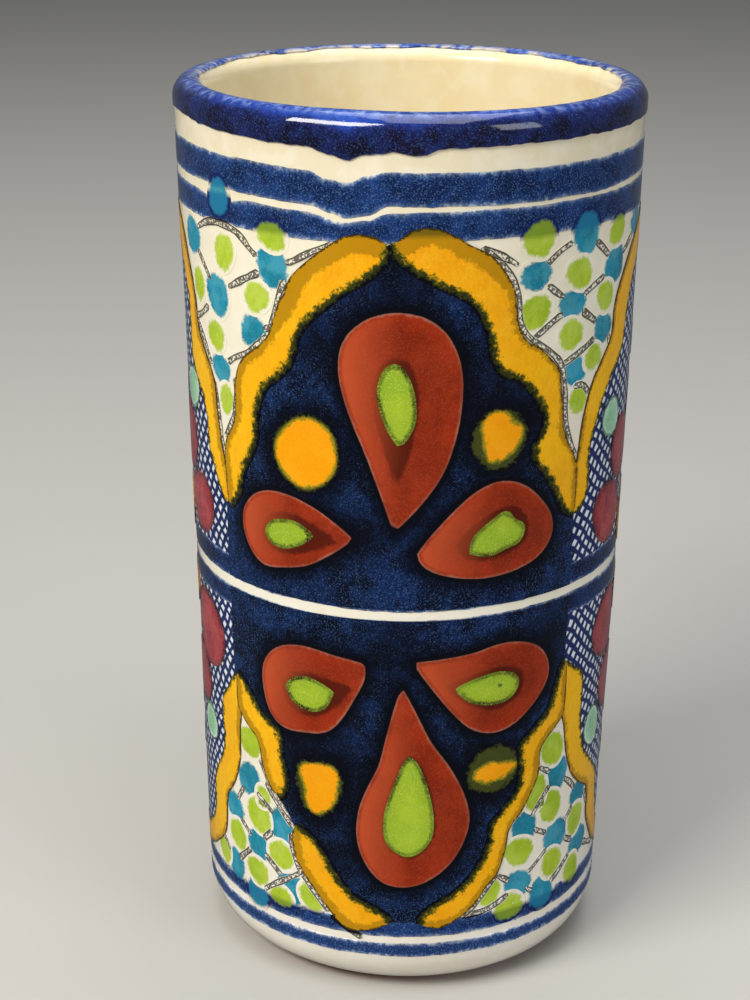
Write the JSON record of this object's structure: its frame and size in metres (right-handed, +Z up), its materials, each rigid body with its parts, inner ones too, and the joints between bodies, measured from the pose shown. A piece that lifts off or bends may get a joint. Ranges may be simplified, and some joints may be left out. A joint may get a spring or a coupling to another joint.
{
  "type": "pottery vase",
  "caption": "Straight hand-painted tin-glazed pottery vase, open at the top, with a rounded lip and heel and fields of coloured enamel round the outside.",
  "frame": {"origin": "middle of the foot, on the surface that the vase stands on", "axes": "+Z up along the vase to its mouth, -Y towards the front, +X to the right of the front"},
  "size_m": [0.0766, 0.0766, 0.15],
  "materials": {
    "clay": "bare fired clay, matt",
    "tin_white": "glossy tin-white glaze, slightly cream",
    "cream_lining": "glossy cream glaze",
    "cobalt": "glossy mottled cobalt enamel",
    "foot_blue": "thin cobalt wash, glossy",
    "red": "glossy terracotta-red enamel",
    "green": "glossy lime-green enamel",
    "yellow": "glossy yellow-ochre enamel, mustard where it overlaps",
    "orange": "glossy orange-yellow enamel",
    "net": "navy crosshatch brushed over tin white, glossy",
    "crimson": "glossy crimson enamel, brushed",
    "mint": "glossy mint-green enamel",
    "lime": "thin lime-green wash, glossy",
    "turquoise": "thin turquoise wash, glossy",
    "grey_line": "dark grey sketched line under the gloss"
  },
  "bodies": {
    "root": {"clay_wall": "clay", "clay_floor": "clay", "lining_glaze": "cream_lining", "jacket_glaze": "tin_white", "rim_enamel": "cobalt", "wide_upper_band": "cobalt", "narrow_upper_band": "cobalt", "waist_upper_band": "cobalt", "waist_lower_band": "cobalt", "lower_band": "cobalt", "foot_band": "foot_blue", "front_upper_ground": "cobalt", "front_lower_ground": "cobalt", "back_upper_ground": "cobalt", "back_lower_ground": "cobalt", "front_upper_teardrop": "red", "front_lower_teardrop": "red", "back_upper_teardrop": "red", "back_lower_teardrop": "red", "front_upper_petals": "red", "front_lower_petals": "red", "back_upper_petals": "red", "back_lower_petals": "red", "front_upper_hearts": "green", "front_lower_hearts": "green", "back_upper_hearts": "green", "back_lower_hearts": "green", "upper_yellow_spots": "orange", "lower_yellow_spots": "orange", "right_upper_net": "net", "right_lower_net": "net", "left_upper_net": "net", "left_lower_net": "net", "right_flower_petals": "crimson", "left_flower_petals": "crimson", "flower_centres": "orange", "mint_dots": "mint", "front_right_upper_border": "yellow", "front_left_upper_border": "yellow", "back_right_upper_border": "yellow", "back_left_upper_border": "yellow", "front_right_lower_border": "yellow", "front_left_lower_border": "yellow", "back_right_lower_border": "yellow", "back_left_lower_border": "yellow", "lime_dots": "lime", "turquoise_dots": "turquoise", "lattice_lines": "grey_line"}
  },
  "joints": []
}
